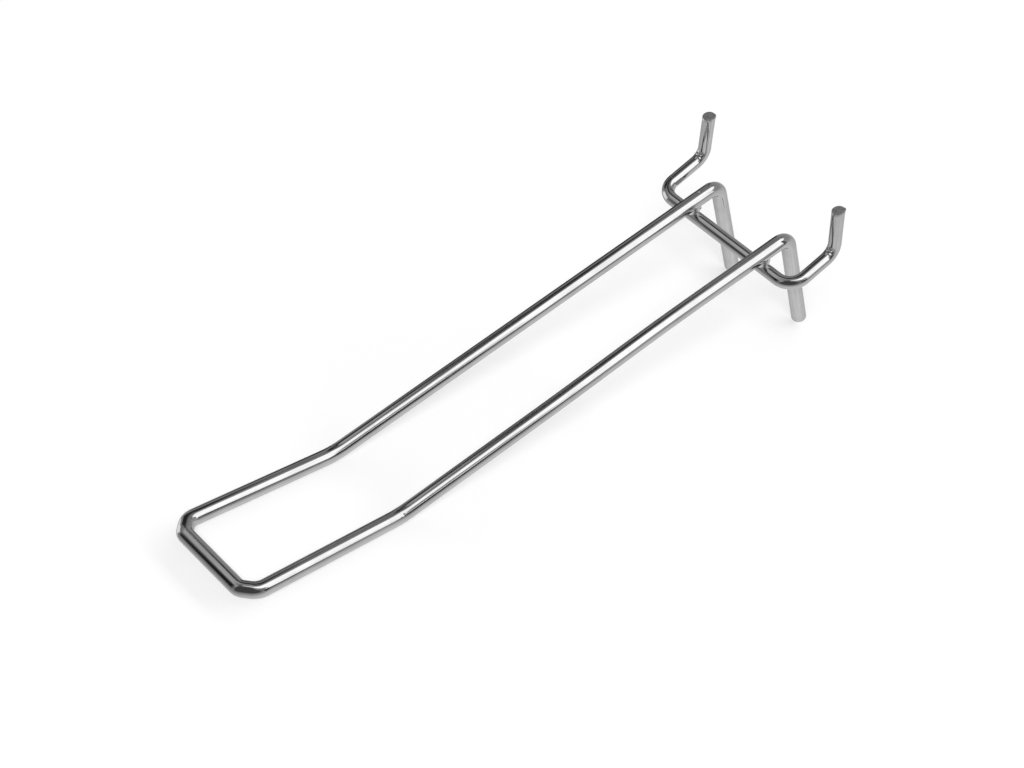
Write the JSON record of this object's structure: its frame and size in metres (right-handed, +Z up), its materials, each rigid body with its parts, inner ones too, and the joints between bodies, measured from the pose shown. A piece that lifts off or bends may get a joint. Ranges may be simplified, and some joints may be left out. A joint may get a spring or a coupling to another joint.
{
  "type": "pegboard hook",
  "caption": "Closed wire loop hook with a raised tip, hung on a pegboard by upturned wire pegs and braced by straight legs.",
  "frame": {"origin": "on the board's front face, midway between the pegs, at the height of the wire axes that pass through the holes", "axes": "+Z up along the board, +Y into the board, -Y forward along the arms to the tip, +X to the right seen from the front"},
  "size_m": [0.0536, 0.1885, 0.077],
  "materials": {
    "loop_wire": "bright plated drawn wire",
    "peg_wire": "bright plated drawn wire with sheared ends",
    "weld": "plated over uneven weld flash"
  },
  "bodies": {
    "root": {"loop_wire": "loop_wire", "peg_wire": "peg_wire", "weld_left": "weld", "weld_right": "weld"}
  },
  "joints": []
}
